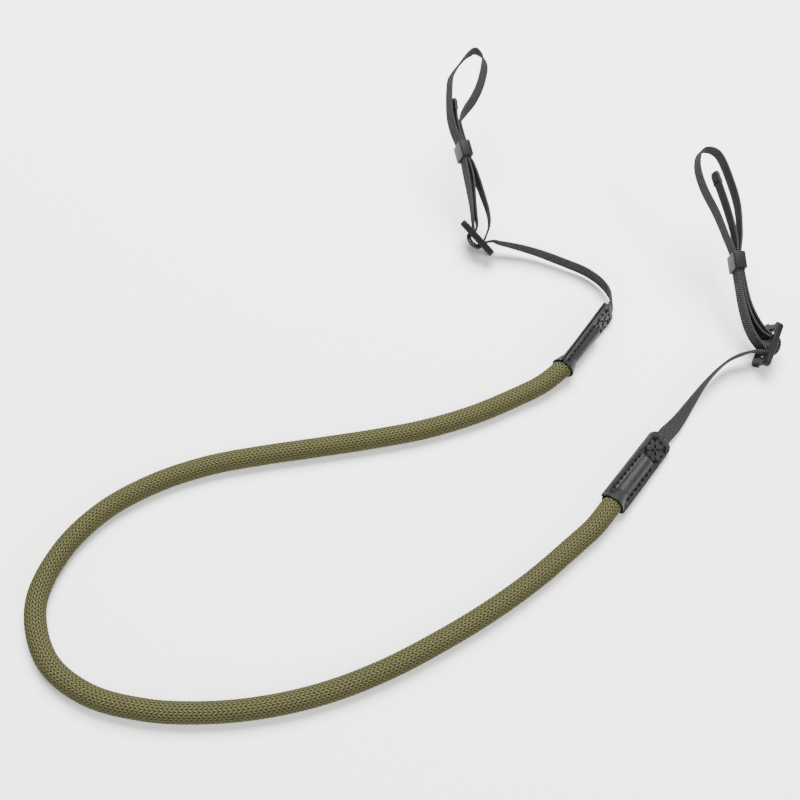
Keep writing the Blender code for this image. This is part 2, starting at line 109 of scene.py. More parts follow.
# The leather ends that hold the rope: place of the mouth in the route, then in degrees the heading on
# the floor, the lean at the mouth and the lean at the webbing
LEATHER_LENGTH = 0.0515
LEATHER_WIDTH = 0.0155
LEATHER_THICKNESS = 0.0013
WEBBING_THICKNESS = 0.0012
LEATHER_SET = {"near": (0, 52.0, 20.0, 36.0), "far": (-1, 53.5, 83.0, 72.0)}


def unit(v):
    return v / np.linalg.norm(v)


def unit_rows(rows):
    return rows / np.linalg.norm(rows, axis=1)[:, None]


def read_at(distance, distances, rows):
    """The row of three numbers at a distance, read between the rows that stand at the distances."""
    return np.array([np.interp(distance, distances, rows[:, k]) for k in range(3)])


def distance_along(points):
    """Distance of each point from the first one, along the line through them."""
    return np.concatenate([[0.0], np.cumsum(np.linalg.norm(np.diff(points, axis=0), axis=1))])


def linear(hex_code):
    """Linear colour from an sRGB hex value, by the formula of the sRGB standard."""
    shares = [int(hex_code[k:k + 2], 16) / 255 for k in (0, 2, 4)]
    return tuple(c / 12.92 if c <= 0.04045 else ((c + 0.055) / 1.055) ** 2.4 for c in shares) + (1.0,)


def add_node(tree, kind, settings=None, inputs=None):
    """Add a node, set its properties, and set or link its inputs."""
    new = tree.nodes.new(kind)
    for name, value in (settings or {}).items():
        setattr(new, name, value)
    for name, value in (inputs or {}).items():
        if isinstance(value, bpy.types.NodeSocket):
            tree.links.new(value, new.inputs[name])
        else:
            new.inputs[name].default_value = value
    return new


def new_material(name, **shader_inputs):
    """A material with its Principled shader's own sockets set, and its node tree."""
    made = bpy.data.materials.new(name)
    made.use_nodes = True
    shader = made.node_tree.nodes["Principled BSDF"]
    for socket, value in shader_inputs.items():
        shader.inputs[socket.replace("_", " ")].default_value = value
    return made, made.node_tree, shader


def frame_at(heading, climb, lean):
    """Direction of travel and direction of the width, from the three angles in degrees."""
    h, c, a = radians(heading), radians(climb), radians(lean)
    travel = np.array((cos(c) * cos(h), cos(c) * sin(h), sin(c)))
    left = np.array((-sin(h), cos(h), 0.0))
    return travel, left * cos(a) + np.cross(travel, left) * sin(a)


def lay_out(start, length, rows, step=0.001):
    """Walk from start with angles read from rows, and give distances, points and both directions."""
    rows = np.array(rows, float)
    n = max(2, int(round(length / step)) + 1)
    share = np.linspace(0, 1, n)
    angles = [np.interp(share, rows[:, 0], rows[:, k]) for k in (1, 2, 3)]
    frames = [frame_at(*a) for a in zip(*angles)]
    travel = np.array([f[0] for f in frames])
    across = np.array([f[1] for f in frames])
    strides = (travel[1:] + travel[:-1]) * 0.5 * length / (n - 1)
    points = np.array(start) + np.vstack([np.zeros(3), np.cumsum(strides, axis=0)])
    return share * length, points, travel, across


def smooth_curve(points, step):
    """Points at about one step apart on a Catmull-Rom curve through the given points."""
    p = np.array(points, float)
    p = np.vstack([2 * p[0] - p[1], p, 2 * p[-1] - p[-2]])
    out = []
    for a, b, c, d in zip(p[:-3], p[1:-2], p[2:-1], p[3:]):
        n = max(1, int(round(np.linalg.norm(c[:3] - b[:3]) / step)))
        for t in np.arange(n) / n:
            out.append(0.5 * (2 * b + (c - a) * t + (2 * a - 5 * b + 4 * c - d) * t ** 2
                              + (3 * b - a - 3 * c + d) * t ** 3))
    out.append(p[-2])
    return np.array(out)


def edge_height(lean, width, half_thickness):
    """Height of the middle of a flat strip that leans on one edge on the floor."""
    return width / 2 * sin(radians(lean)) + half_thickness * cos(radians(lean))


def leather_axis(name):
    """The straight middle line of one leather end, from the mouth to the webbing."""
    start, heading, lean_mouth, lean_end = LEATHER_SET[name]
    x, y, _ = ROPE_ROUTE[start]
    tube = ROPE_RADIUS + GAP + LEATHER_THICKNESS
    at_mouth = max(tube, edge_height(lean_mouth, LEATHER_WIDTH, GAP / 2 + LEATHER_THICKNESS))
    at_end = edge_height(lean_end, LEATHER_WIDTH, WEBBING_THICKNESS / 2 + GAP + LEATHER_THICKNESS)
    climb = degrees(asin((at_end - at_mouth) / LEATHER_LENGTH))
    rows = [(0, heading, climb, lean_mouth), (1, heading, climb, lean_end)]
    return lay_out((x, y, at_mouth), LEATHER_LENGTH, rows)


leather = {name: leather_axis(name) for name in LEATHER_SET}


def rope_radius(depth):
    """Radius of the rope at a depth inside its leather end, which is 0 outside."""
    return ROPE_RADIUS + (ROPE_HELD_RADIUS - ROPE_RADIUS) * min(1.0, depth / ROPE_SQUEEZE)


def rope_line():
    """Centre points and radii of the rope, from inside one leather end to inside the other."""
    route = []
    for k, (x, y, rise) in enumerate(ROPE_ROUTE):
        top = leather["near" if k < len(ROPE_ROUTE) / 2 else "far"][1][0][2]
        route.append((x, y, ROPE_RADIUS + rise * (top - ROPE_RADIUS)))
    held = {}
    for name, (s, points, _, _) in leather.items():
        depths = np.arange(ROPE_RING_STEP, ROPE_HELD_LENGTH, ROPE_RING_STEP)
        held[name] = np.array([read_at(d, s, points) for d in depths])
    middle = smooth_curve(route, ROPE_RING_STEP)
    line = np.vstack([held["near"][::-1], middle, held["far"]])
    inside = np.zeros(len(line))
    count = len(held["near"])
    depth = np.arange(1, count + 1) * ROPE_RING_STEP
    inside[:count] = depth[::-1]
    inside[-count:] = depth
    return line, np.array([rope_radius(d) for d in inside])


def tube_rings(line):
    """Two directions across a tube that lies near the floor, for each point of its line."""
    travel = unit_rows(np.gradient(line, axis=0))
    side = unit_rows(np.cross(travel, np.array((0.0, 0.0, 1.0))))
    return side, np.cross(side, travel)


def grid_object(name, verts, faces, uvs, material):
    """A smooth mesh object from vertices, faces and one UV per vertex, riding on the root body."""
    mesh = bpy.data.meshes.new(name)
    mesh.from_pydata([tuple(v) for v in verts], [], faces)
    layer = mesh.uv_layers.new(name="along")
    corner_vertex = np.zeros(len(mesh.loops), dtype=np.int32)
    mesh.loops.foreach_get("vertex_index", corner_vertex)
    layer.data.foreach_set("uv", np.array(uvs, dtype=np.float32)[corner_vertex].ravel())
    mesh.materials.append(material)
    mesh.shade_smooth()
    obj = put_in_scene(name, mesh)
    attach(obj, "root")
    return obj


def braid_height(along, turn):
    """Height of the braid's surface from 0 in the gaps to 1 on a strand's crown."""
    a = along / BRAID_PITCH + turn * BRAID_STRANDS
    b = along / BRAID_PITCH - turn * BRAID_STRANDS
    column = np.mod(turn * BRAID_STRANDS, 2.0)
    across = np.where(column < 1.0, np.mod(a, 1.0), np.mod(b, 1.0))
    crown = np.sin(pi * np.mod(column, 1.0))
    return (1 - (2 * across - 1) ** 2) * (1 - BRAID_CROWN + BRAID_CROWN * crown)


def make_rope(material):
    """The rope with its braid as relief, its centre points and its length."""
    line, radii = rope_line()
    side, up = tube_rings(line)
    along = distance_along(line)
    turn = np.arange(ROPE_SEGMENTS) / ROPE_SEGMENTS
    height = braid_height(along[:, None], turn[None, :])
    radius = radii[:, None] + BRAID_DEPTH * (height - BRAID_LEVEL)
    angle = 2 * pi * turn
    ring = (np.cos(angle)[None, :, None] * side[:, None, :]
            + np.sin(angle)[None, :, None] * up[:, None, :])
    # The first column comes again at the end, so that the UV runs to a full turn, and is welded there
    verts = line[:, None, :] + radius[:, :, None] * ring
    verts = np.concatenate([verts, verts[:, :1]], axis=1)
    verts[:, :, 2] = np.maximum(verts[:, :, 2], 0.0)
    n, m = verts.shape[:2]
    index = np.arange(n * m).reshape(n, m)
    quads = np.stack([index[:-1, :-1], index[:-1, 1:], index[1:, 1:], index[1:, :-1]], axis=-1)
    uvs = np.stack(np.broadcast_arrays(along[:, None], np.linspace(0, 1, m)[None, :]), axis=-1)
    faces = [tuple(q) for q in quads.reshape(-1, 4).tolist()]
    faces += [tuple(index[0, :-1].tolist()), tuple(index[-1, :-1][::-1].tolist())]
    obj = grid_object("rope_braid", verts.reshape(-1, 3), faces, uvs.reshape(-1, 2), material)
    weld = obj.modifiers.new("seam", "WELD")
    weld.merge_threshold = SEAM_WELD
    return obj, line, along[-1]


def braided_polyester():
    """Braided polyester cover: soft, dry yarns whose crowns carry a painted highlight, with painted shade
    in the gaps between.
    """
    material, tree, shader = new_material("braided_polyester_cover", Roughness=0.82, IOR=1.5,
                                          Specular_IOR_Level=0.12)
    uv = add_node(tree, "ShaderNodeUVMap", {"uv_map": "along"})
    split = add_node(tree, "ShaderNodeSeparateXYZ", inputs={"Vector": uv.outputs["UV"]})

    # The same pattern as braid_height, worked out from the distance along and the share of a turn;
    # fibres of one strand differ a little
    fibres = add_node(tree, "ShaderNodeTexNoise", {}, {"Scale": 1 / FIBRE_SIZE, "Detail": 2.0})
    patches = add_node(tree, "ShaderNodeTexNoise", {}, {"Scale": 1 / PATCH_SIZE, "Detail": 3.0})
    value = {"along": split.outputs["X"], "turn": split.outputs["Y"], "fibre": fibres.outputs["Fac"]}
    steps = [
        # result, operation, first, second
        ("pitches", "DIVIDE", "along", BRAID_PITCH),
        ("strands", "MULTIPLY", "turn", BRAID_STRANDS),
        ("column", "MODULO", "strands", 2.0),
        ("second", "GREATER_THAN", "column", 1.0),
        ("way", "MULTIPLY_ADD", "second", -2.0),
        ("slant", "MULTIPLY", "strands", "way"),
        ("slanted", "ADD", "pitches", "slant"),
        ("shifted", "ADD", "slanted", BRAID_STRANDS),
        ("across", "FRACT", "shifted", 0.0),
        ("from_middle", "MULTIPLY_ADD", "across", 2.0),
        ("squared", "MULTIPLY", "from_middle", "from_middle"),
        ("round", "SUBTRACT", 1.0, "squared"),
        ("in_column", "FRACT", "column", 0.0),
        ("half_turn", "MULTIPLY", "in_column", pi),
        ("crown", "SINE", "half_turn", 0.0),
        ("crowned", "MULTIPLY", "crown", BRAID_CROWN),
        ("lifted", "ADD", "crowned", 1 - BRAID_CROWN),
        ("height", "MULTIPLY", "round", "lifted"),
        ("fibre_tone", "MULTIPLY", "fibre", FIBRE_TONE),
        ("tone_up", "ADD", "height", "fibre_tone"),
        ("tone", "SUBTRACT", "tone_up", FIBRE_TONE / 2),
    ]
    third = {"way": 1.0, "from_middle": -1.0}
    for result, operation, first, second in steps:
        inputs = {0: value.get(first, first), 1: value.get(second, second), 2: third.get(result, 0.0)}
        value[result] = add_node(tree, "ShaderNodeMath", {"operation": operation}, inputs).outputs[0]
    tone = value["tone"]
    # The ramp paints shade into the gaps between strands and a highlight on their crowns, from the braid's
    # height; the fibres' own tone varies at random
    ramp = add_node(tree, "ShaderNodeValToRGB", {}, {"Fac": tone})
    ramp.color_ramp.elements[0].position = 0.16
    ramp.color_ramp.elements[0].color = linear("181208")
    ramp.color_ramp.elements[1].position = 0.85
    ramp.color_ramp.elements[1].color = linear("59583a")
    middle = ramp.color_ramp.elements.new(0.5)
    middle.color = linear("444327")
    tint = add_node(tree, "ShaderNodeMix", {"data_type": "RGBA", "blend_type": "MULTIPLY"},
                    {"Factor": 0.35, 6: ramp.outputs["Color"], 7: patches.outputs["Fac"]})
    tree.links.new(tint.outputs[2], shader.inputs["Base Color"])
    bump = add_node(tree, "ShaderNodeBump", {}, {"Height": tone, "Distance": BRAID_DEPTH, "Strength": 0.8})
    tree.links.new(bump.outputs["Normal"], shader.inputs["Normal"])
    return material


rope, rope_points, rope_length = make_rope(braided_polyester())
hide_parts("rope")


# Leather ends
# Two strips of black full-grain leather, stitched face to face round each rope end.  They ride over
# the rope as a ridge between two rows of stitches, and a crossed box of stitches holds the webbing.
LEATHER_CORNER = 0.0035
LEATHER_FILLET = 0.0012
LEATHER_EDGE_ROUND = 0.0005
LEATHER_STEP_ALONG = 0.00055
LEATHER_STEP_ACROSS = 0.0003
EDGE_STEPS = 5

# How steeply the ridge falls to its sides and past its end, and the short slope up over the webbing
RIDGE_SIDE_SLOPE = 2.5
RIDGE_END_SLOPE = 1.6
WEBBING_WIDTH = 0.010
HELD_WEBBING_LENGTH = 0.0135
HELD_ROOM = 0.004
RIDGE_LENGTH = LEATHER_LENGTH - HELD_WEBBING_LENGTH - HELD_ROOM
WEBBING_STEP = 0.003

# Pebbles of the grain, and larger clouds in its dye and gloss
GRAIN_SIZE = 0.0007
GRAIN_DEPTH = 0.0002
CLOUD_SIZE = 0.006

# Rows of stitches in millimetres: distance from the mouth and place across, at the row's start and
# at its end, then how deep the row pulls the leather down and how far to its sides.  The leather swells
# between the rows of the crossed box.
STITCH_ROWS = [
    (2.5, 5.0, 34.0, 5.0, 0.30, 0.6), (2.5, -5.0, 33.0, -5.0, 0.30, 0.6),
    (36.5, -5.2, 36.5, 5.2, 0.60, 0.9), (36.5, 5.2, 48.0, 5.2, 0.45, 0.8),
    (48.0, 5.2, 48.0, -5.2, 0.45, 0.8), (48.0, -5.2, 36.5, -5.2, 0.45, 0.8),
    (36.5, -5.2, 48.0, 5.2, 0.55, 1.2), (36.5, 5.2, 48.0, -5.2, 0.55, 1.2),
]
MM_IN_METRE = 1000
STITCH_PITCH = 0.0037
STITCH_LENGTH = 0.0021

# The thread: its middle stands out of the leather by a share of its radius, its ends are tucked in
STITCH_RADIUS = 0.0005
THREAD_STANDS_OUT = 0.4
THREAD_END = 0.05
THREAD_RINGS = 7
THREAD_SIDES = 6
THREAD_TWIST = 0.0003
THREAD_TWIST_DEPTH = STITCH_RADIUS / 8


def leather_layer_height(u, w):
    """Height of a layer's middle surface over the seam plane, as in the part."""
    over_rope = rope_radius(u) + GAP + LEATHER_THICKNESS / 2
    beyond = max(0.0, abs(w) - over_rope)
    past = max(0.0, u - RIDGE_LENGTH)
    ridge = sqrt(max(0.0, over_rope ** 2 - w * w)) - RIDGE_SIDE_SLOPE * beyond - RIDGE_END_SLOPE * past
    seam = GAP / 2 + LEATHER_THICKNESS / 2
    on_band = WEBBING_THICKNESS / 2 + GAP + LEATHER_THICKNESS / 2
    to_webbing = LEATHER_LENGTH - HELD_WEBBING_LENGTH - 2 * GAP
    over = min(1.0, max(0.0, (u - to_webbing) / WEBBING_STEP + 1.0))
    beside = min(1.0, (LEATHER_WIDTH / 2 - abs(w)) / (LEATHER_WIDTH / 2 - WEBBING_WIDTH / 2 - GAP))
    flat = seam + (on_band - seam) * over * beside
    return 0.5 * (ridge + flat + sqrt((ridge - flat) ** 2 + LEATHER_FILLET ** 2))


def seam_dip(u, w):
    """How far the stitches pull the outer face down at this place."""
    deepest = 0.0
    for u0, w0, u1, w1, depth, spread in STITCH_ROWS:
        start = np.array((u0, w0)) / MM_IN_METRE
        run = np.array((u1, w1)) / MM_IN_METRE - start
        share = np.clip(np.dot(np.array((u, w)) - start, run) / np.dot(run, run), 0.0, 1.0)
        away = np.linalg.norm(np.array((u, w)) - start - share * run)
        deepest = max(deepest, depth * np.exp(-(away * MM_IN_METRE / spread) ** 2))
    return deepest / MM_IN_METRE


def leather_half_width(u):
    """Half the leather's width, which narrows in the rounded corners at the webbing."""
    past = max(0.0, u - (LEATHER_LENGTH - LEATHER_CORNER))
    return LEATHER_WIDTH / 2 - LEATHER_CORNER + sqrt(max(0.0, LEATHER_CORNER ** 2 - past ** 2))


def near_the_ends(length, step, rounding):
    """Places along a length, one step apart, and closer within the rounding at both ends."""
    bend = rounding * (1 - np.cos(np.linspace(0, pi / 2, EDGE_STEPS)))
    middle = np.linspace(rounding, length - rounding, int(length / step))
    return np.concatenate([bend[:-1], middle, length - bend[-2::-1]])


def edge_fullness(away, rounding):
    """Share of the full thickness at a distance from a rounded edge."""
    return np.sqrt(np.clip(1 - (1 - np.clip(away / rounding, 0, 1)) ** 2, 0, 1))


def closed_sheet(name, top, bottom, uvs, material):
    """One closed mesh from two grids of points that meet all round their borders."""
    n, m = top.shape[:2]
    upper = np.arange(n * m).reshape(n, m)
    lower = upper.copy()
    lower[1:-1, 1:-1] = n * m + np.arange((n - 2) * (m - 2)).reshape(n - 2, m - 2)
    verts = np.concatenate([top.reshape(-1, 3), bottom[1:-1, 1:-1].reshape(-1, 3)])
    all_uvs = np.concatenate([uvs.reshape(-1, 2), uvs[1:-1, 1:-1].reshape(-1, 2)])
    faces = []
    for index, order in ((upper, 1), (lower, -1)):
        quads = np.stack([index[:-1, :-1], index[1:, :-1], index[1:, 1:], index[:-1, 1:]], axis=-1)
        faces += [tuple(q[::order]) for q in quads.reshape(-1, 4).tolist()]
    return grid_object(name, verts, faces, all_uvs, material)


def full_grain_leather():
    """Full-grain leather, dyed and pressed: fine pebbled grain with a low sheen on raised places."""
    material, tree, shader = new_material("full_grain_leather", IOR=1.5, Specular_IOR_Level=0.24)
    place = add_node(tree, "ShaderNodeTexCoord")
    cells = add_node(tree, "ShaderNodeTexVoronoi", {"feature": "F1"},
                     {"Vector": place.outputs["Object"], "Scale": 1 / GRAIN_SIZE, "Randomness": 0.9})
    clouds = add_node(tree, "ShaderNodeTexNoise", {},
                      {"Vector": place.outputs["Object"], "Scale": 1 / CLOUD_SIZE, "Detail": 4.0})
    ramp = add_node(tree, "ShaderNodeValToRGB", {}, {"Fac": clouds.outputs["Fac"]})
    ramp.color_ramp.elements[0].position = 0.35
    ramp.color_ramp.elements[0].color = linear("0c0c0d")
    ramp.color_ramp.elements[1].position = 0.7
    ramp.color_ramp.elements[1].color = linear("171717")
    tree.links.new(ramp.outputs["Color"], shader.inputs["Base Color"])
    gloss = add_node(tree, "ShaderNodeMapRange", {},
                     {"Value": clouds.outputs["Fac"], "To Min": 0.42, "To Max": 0.6})
    tree.links.new(gloss.outputs["Result"], shader.inputs["Roughness"])
    bump = add_node(tree, "ShaderNodeBump", {},
                    {"Height": cells.outputs["Distance"], "Distance": GRAIN_DEPTH, "Strength": 0.9})
    tree.links.new(bump.outputs["Normal"], shader.inputs["Normal"])
    return material


def on_leather(name, side, u):
    """Point on a leather end's axis, direction of its width and outward direction of one face."""
    s, points, travel, across = leather[name]
    width = unit(read_at(u, s, across))
    return read_at(u, s, points), width, np.cross(travel[0], width) * side


def make_leather_layer(name, side, material):
    """One layer of a leather end: the front one for side 1, the back one for side -1."""
    us = near_the_ends(LEATHER_LENGTH, LEATHER_STEP_ALONG, LEATHER_EDGE_ROUND)
    ws = near_the_ends(LEATHER_WIDTH, LEATHER_STEP_ACROSS, LEATHER_EDGE_ROUND) / LEATHER_WIDTH * 2 - 1
    top = np.zeros((len(us), len(ws), 3))
    bottom = np.zeros_like(top)
    uvs = np.zeros((len(us), len(ws), 2))
    for i, u in enumerate(us):
        point, width, up = on_leather(name, side, u)
        half = leather_half_width(u)
        for j, share in enumerate(ws):
            w = share * half
            away = min(u, LEATHER_LENGTH - u, half * (1 - abs(share)))
            full = float(edge_fullness(away, LEATHER_EDGE_ROUND)) * LEATHER_THICKNESS / 2
            height = leather_layer_height(u, w)
            top[i, j] = point + width * w + up * (height + full - min(full, seam_dip(u, w)))
            bottom[i, j] = point + width * w + up * (height - full)
            uvs[i, j] = (u, w)
    if side < 0:
        top, bottom = bottom, top
    label = "front" if side > 0 else "back"
    return closed_sheet(f"{name}_leather_{label}_hide", top, bottom, uvs, material)


def bonded_thread():
    """Bonded polyester sewing thread: black, tight and slightly waxy."""
    material, tree, shader = new_material("bonded_polyester_thread", Roughness=0.8, IOR=1.5,
                                          Base_Color=linear("040404"), Specular_IOR_Level=0.1)
    twist = add_node(tree, "ShaderNodeTexNoise", {}, {"Scale": 1 / THREAD_TWIST})
    bump = add_node(tree, "ShaderNodeBump", {},
                    {"Height": twist.outputs["Fac"], "Distance": THREAD_TWIST_DEPTH})
    tree.links.new(bump.outputs["Normal"], shader.inputs["Normal"])
    return material


def stitch_threads(name, spans, material):
    """Short fat threads from spans of start, end and outward direction, their ends tucked in."""
    verts, faces, uvs = [], [], []
    rings = np.linspace(0, pi, THREAD_RINGS)
    sides = THREAD_SIDES
    for start, end, up in spans:
        reach = (end - start) / 2
        beside = np.cross(unit(reach), up)
        centre = (start + end) / 2 + up * STITCH_RADIUS * THREAD_STANDS_OUT
        base = len(verts)
        for t in rings:
            radius = STITCH_RADIUS * sqrt(max(THREAD_END, sin(t)))
            for q in np.arange(sides) * 2 * pi / sides:
                verts.append(centre - reach * cos(t) + (beside * cos(q) + up * sin(q)) * radius)
                uvs.append((t, q))
        for i in range(THREAD_RINGS - 1):
            for j in range(sides):
                low, high = base + i * sides + j, base + i * sides + (j + 1) % sides
                faces.append((low, high, high + sides, low + sides))
        faces.append(tuple(base + j for j in range(sides - 1, -1, -1)))
        faces.append(tuple(base + (THREAD_RINGS - 1) * sides + j for j in range(sides)))
    return grid_object(name, verts, faces, uvs, material)


def leather_stitches(name, side):
    """Spans of the stitches on one face of a leather end."""

    def on_face(u, w):
        point, width, up = on_leather(name, side, u)
        height = leather_layer_height(u, w) + LEATHER_THICKNESS / 2 - seam_dip(u, w)
        return point + width * w + up * height, up

    spans = []
    for u0, w0, u1, w1, _, _ in STITCH_ROWS:
        start, end = np.array((u0, w0)) / MM_IN_METRE, np.array((u1, w1)) / MM_IN_METRE
        length = np.linalg.norm(end - start)
        count = max(2, int(round(length / STITCH_PITCH)))
        reach = STITCH_LENGTH / 2 / length
        for k in range(count):
            middle = (k + 0.5) / count
            first, up = on_face(*(start + (end - start) * (middle - reach)))
            last, _ = on_face(*(start + (end - start) * (middle + reach)))
            spans.append((first, last, up))
    return spans


hide = full_grain_leather()
thread = bonded_thread()
for name in leather:
    for side, label in ((1, "front"), (-1, "back")):
        layer = make_leather_layer(name, side, hide)
        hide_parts(f"{name}_leather_{label}")
        stitch_threads(f"{name}_stitches_{label}", leather_stitches(name, side), thread)


# Webbing bands
# One flat band of woven black nylon at each end.  It leaves the leather, goes round the slider's centre
# bar, makes the lug loop through the keeper and comes back to a folded and sewn tip.

# What the band passes through: the slider, whose sizes its own section uses too, and the keeper
SLIDER_LENGTH = 0.027
SLIDER_THICKNESS = 0.004
SLIDER_RAIL = 0.0023
SLIDER_CENTRE_BAR = 0.006
SLIDER_SLOT = 0.0055
SLIDER_CORNER = 0.003
SLIDER_EDGE = 0.0008
KEEPER_LENGTH = 0.010

# How far the turn round the centre bar bulges, the way from the run's end to the slider, the steps of
# the turn, and the thinning of the walked points, of which the band keeps every third
BAND_BULGE = 0.0018
BAND_LEAD_IN = 0.0028
TURN_STEPS = 8
ROUTE_THINNING = 3
LAYER_PITCH = WEBBING_THICKNESS + GAP
SLOT_WIDTH = WEBBING_WIDTH + 4 * GAP
SLIDER_WIDTH = SLOT_WIDTH + 2 * SLIDER_RAIL
TURN_INNER = SLIDER_CENTRE_BAR / 2 + GAP + WEBBING_THICKNESS / 2
TURN_OUTER = TURN_INNER + LAYER_PITCH

# run: the free band from the leather to the slider
# turn: from the run's heading to that of the layers that leave the slider, in degrees
# plate and back: from there to the slider's long axis, in degrees, and the side that faces away from
# the run, 1 or -1
# spine: the middle of the layers from the slider through the keeper to the tip of the loop
# legs: where the three layers lie across the spine, in layer pitches, from slider to keeper
# loop and tail: the band's path past the keeper as shares of the loop's length and half its width
# Scratch programs worked out the headings, turn, plate, run_length, legs, loop and tail from places read
# off the photograph, and some of the far end's were changed by hand afterwards
ENDS = {
    "near": dict(
        run_length=0.0855,
        run=[
            # share, heading, climb, lean
            (0.08, 44, -1, 44), (0.22, 53.5, -2, 57), (0.42, 54, -1, 76), (0.60, 48.5, 2, 92),
            (0.76, 38, 6, 103), (0.90, 11, 13, 112), (1.00, 19.5, -5, 121),
        ],
        turn=116.0,
        plate=62.5,
        legs_length=0.0525,
        loop_length=0.0725,
        loop_width=0.024,
        spine=[
            # share, heading, climb, lean
            (0.12, 119, 22, 88), (0.25, 98.5, 20, 92), (0.42, 95, 20, 90), (0.55, 95, 22, 88),
            (0.72, 110, 25, 86), (1.00, 108.5, 26, 86),
        ],
        back=1,
        legs=[
            # share, free leg, tail, fixed leg
            (0.18, -3.0, 0.0, 1.7), (0.35, -2.1, -0.4, 1.3), (0.57, -1.2, -0.1, 1.1),
        ],
        loop=[
            # share of length, share of half width, twist in degrees, fixed side first
            (0.23, 0.33, 0), (0.46, 0.55, 0), (0.67, 0.63, 0), (0.85, 0.57, 0), (0.93, 0.39, 0),
            (0.97, 0.05, 0), (0.97, -0.28, 0), (0.92, -0.57, 0), (0.82, -0.76, 0), (0.66, -0.77, 0),
            (0.44, -0.58, 0), (0.23, -0.36, 0),
        ],
        tail=[
            # share of length, share of half width
            (0.21, 0.06), (0.46, 0.00), (0.78, 0.00),
        ],
    ),
    "far": dict(
        run_length=0.098,
        run=[
            (0.06, 83, -6, 77), (0.18, 115, -4, 83), (0.28, 133, -2, 82), (0.42, 153, 0, 80),
            (0.60, 155, 1, 78), (0.78, 164.5, 4, 72), (0.92, 173.5, 10, 62), (1.00, 157, 12, 53.5),
        ],
        turn=-75.0,
        plate=-53.5,
        legs_length=0.0565,
        loop_length=0.0695,
        loop_width=0.024,
        spine=[
            (0.14, 98, 24, 91), (0.28, 106, 20, 96), (0.43, 105, 20, 99), (0.55, 105, 22, 102),
            (0.70, 77, 25, 113), (1.00, 63, 27, 121),
        ],
        back=-1,
        legs=[
            (0.14, 4.2, -0.8, -2.4), (0.27, 3.9, -1.3, -2.7), (0.42, 3.1, -1.1, -2.5),
            (0.65, 2.4, 0.1, -1.9), (0.82, 1.8, 0.3, -1.3),
        ],
        loop=[
            (0.23, -0.25, 0), (0.38, -0.39, 0), (0.62, -0.69, 0), (0.72, -0.65, -2), (0.81, -0.48, -8),
            (0.91, -0.27, -16), (0.97, 0.02, -28), (0.96, 0.48, -38), (0.90, 0.78, -44), (0.78, 0.91, -44),
            (0.66, 0.90, -42), (0.54, 0.76, -40), (0.42, 0.48, -34), (0.32, 0.22, -20), (0.23, 0.12, -4),
        ],
        tail=[
            (0.18, -0.05), (0.32, -0.09), (0.42, -0.17), (0.49, -0.31),
        ],
    ),
}

# The weave: ribs of yarn that slant one way and then the other across the band
RIB_PITCH = 0.0012
RIB_SLANT = 0.4
RIB_COLUMN = 0.0025
RIB_DEPTH = 0.00022
ROWS_PER_RIB = 4
YARN_SIZE = 0.0007
BAND_EDGE_ROUND = 0.0004
BAND_STEP_ACROSS = 0.00046
TIP_CORNER = 0.0034

# The hem: the tip folded over once and sewn through with three stitches
HEM_LENGTH = 0.0085
HEM_FOLD = 0.0007
HEM_RISE = 0.0008
HEM_STITCH_ROW = 0.0069
HEM_STITCH_PLACES = (-0.0034, 0.0, 0.0034)
HEM_STITCH_LENGTH = 0.0026


def turned(v, axis, angle):
    """A vector turned about an axis by an angle in degrees."""
    a = radians(angle)
    return v * cos(a) + np.cross(axis, v) * sin(a) + axis * np.dot(axis, v) * (1 - cos(a))


def slider_frame(end, point, travel, across):
    """Centre, long axis, width and back of the slider whose outer pass the run enters."""
    bundle = turned(travel, across, end["turn"])
    right = np.cross(bundle, across)
    plate = radians(end["plate"])
    long_axis = bundle * cos(plate) + right * sin(plate)
    back = end["back"] * (right * cos(plate) - bundle * sin(plate))
    centre = point + TURN_OUTER * long_axis + (SLIDER_THICKNESS / 2 + BAND_LEAD_IN) * back
    return centre, long_axis, across, back, bundle


def slider_rest_height(long_axis, width_axis, back):
    """Height of the slider's centre when its lowest rounded corner touches the floor."""
    a, b, c = abs(long_axis[2]), abs(width_axis[2]), abs(back[2])
    corner = (SLIDER_LENGTH / 2 - SLIDER_CORNER) * a + (SLIDER_WIDTH / 2 - SLIDER_CORNER) * b
    rounding = (SLIDER_CORNER - SLIDER_EDGE) * hypot(a, b) + SLIDER_EDGE
    return corner + rounding + (SLIDER_THICKNESS / 2 - SLIDER_EDGE) * c


def strap_end(name):
    """All the curves and frames of one end, worked out in order from the leather outwards."""
    end = ENDS[name]
    end_lean = LEATHER_SET[name][3]
    climb = degrees(asin(leather[name][2][-1][2]))
    first_row = (0, LEATHER_SET[name][1], climb, end_lean)
    run = lay_out(leather[name][1][-1], end["run_length"], [first_row] + end["run"])
    slider = slider_frame(end, run[1][-1], run[2][-1], run[3][-1])
    centre, long_axis, width_axis, back, bundle = slider
    lift = slider_rest_height(long_axis, width_axis, back) - centre[2]
    centre[2] += lift
    share = run[0] / end["run_length"]
    run[1][:, 2] += lift * share ** 2 * (3 - 2 * share)
    heading = degrees(atan2(bundle[1], bundle[0]))
    climb = degrees(asin(bundle[2]))
    flat_left = np.array((-bundle[1], bundle[0], 0.0)) / hypot(bundle[0], bundle[1])
    lean = degrees(atan2(np.dot(width_axis, np.cross(bundle, flat_left)), np.dot(width_axis, flat_left)))
    spine_rows = [(0, heading, climb, lean)] + end["spine"]
    spine = lay_out(centre, end["legs_length"] + end["loop_length"], spine_rows)
    return dict(end=end, leather=leather[name], run=run, slider=slider, spine=spine)


def on_spine(spine, u, v, twist=0.0):
    """Point at u along the spine and v to its right, with the direction of the twisted width there."""
    s, points, travel, across = spine
    point = read_at(u, s, points)
    along = unit(read_at(u, s, travel))
    width = read_at(u, s, across)
    width = unit(width - along * np.dot(along, width))
    point = point + along * min(0.0, u) + along * max(0.0, u - s[-1])
    return point + v * np.cross(along, width), turned(width, along, twist)


